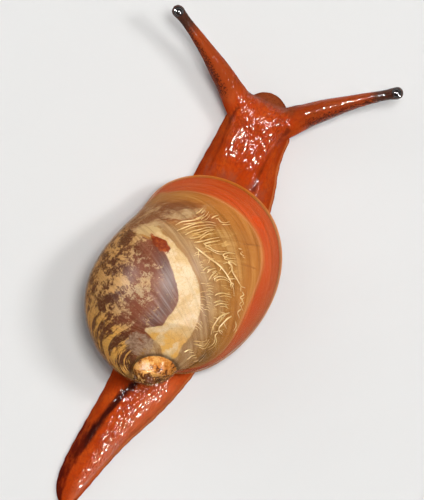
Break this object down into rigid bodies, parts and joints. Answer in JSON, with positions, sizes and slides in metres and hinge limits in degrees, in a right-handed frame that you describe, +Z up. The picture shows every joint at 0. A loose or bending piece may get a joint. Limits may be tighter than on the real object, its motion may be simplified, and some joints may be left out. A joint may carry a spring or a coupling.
{
  "type": "catinella rotundata snail",
  "caption": "Small crawling land snail with a thin glossy shell, long tail and raised eye tentacles, posed as a still life-size model.",
  "frame": {"origin": "centre of the sole, on the surface that the snail crawls on", "axes": "+Y forward to the head, +X to the snail's right, +Z up"},
  "size_m": [0.0154, 0.0333, 0.0099],
  "materials": {
    "flesh": "wet, finely wrinkled orange-red skin",
    "mantle": "wet, smooth orange skin under the shell's mouth",
    "eye": "wet, glossy dark bulb",
    "shell": "thin, glossy, translucent amber with fine growth lines"
  },
  "bodies": {
    "root": {"shell": "shell", "mantle_collar": "mantle", "tail": "flesh", "foot": "flesh", "neck": "flesh", "head": "flesh", "tentacle_left_lower": "flesh", "tentacle_left_upper": "flesh", "eye_left": "eye", "tentacle_right_lower": "flesh", "tentacle_right_upper": "flesh", "eye_right": "eye", "feeler_left": "flesh", "feeler_right": "flesh"}
  },
  "joints": []
}
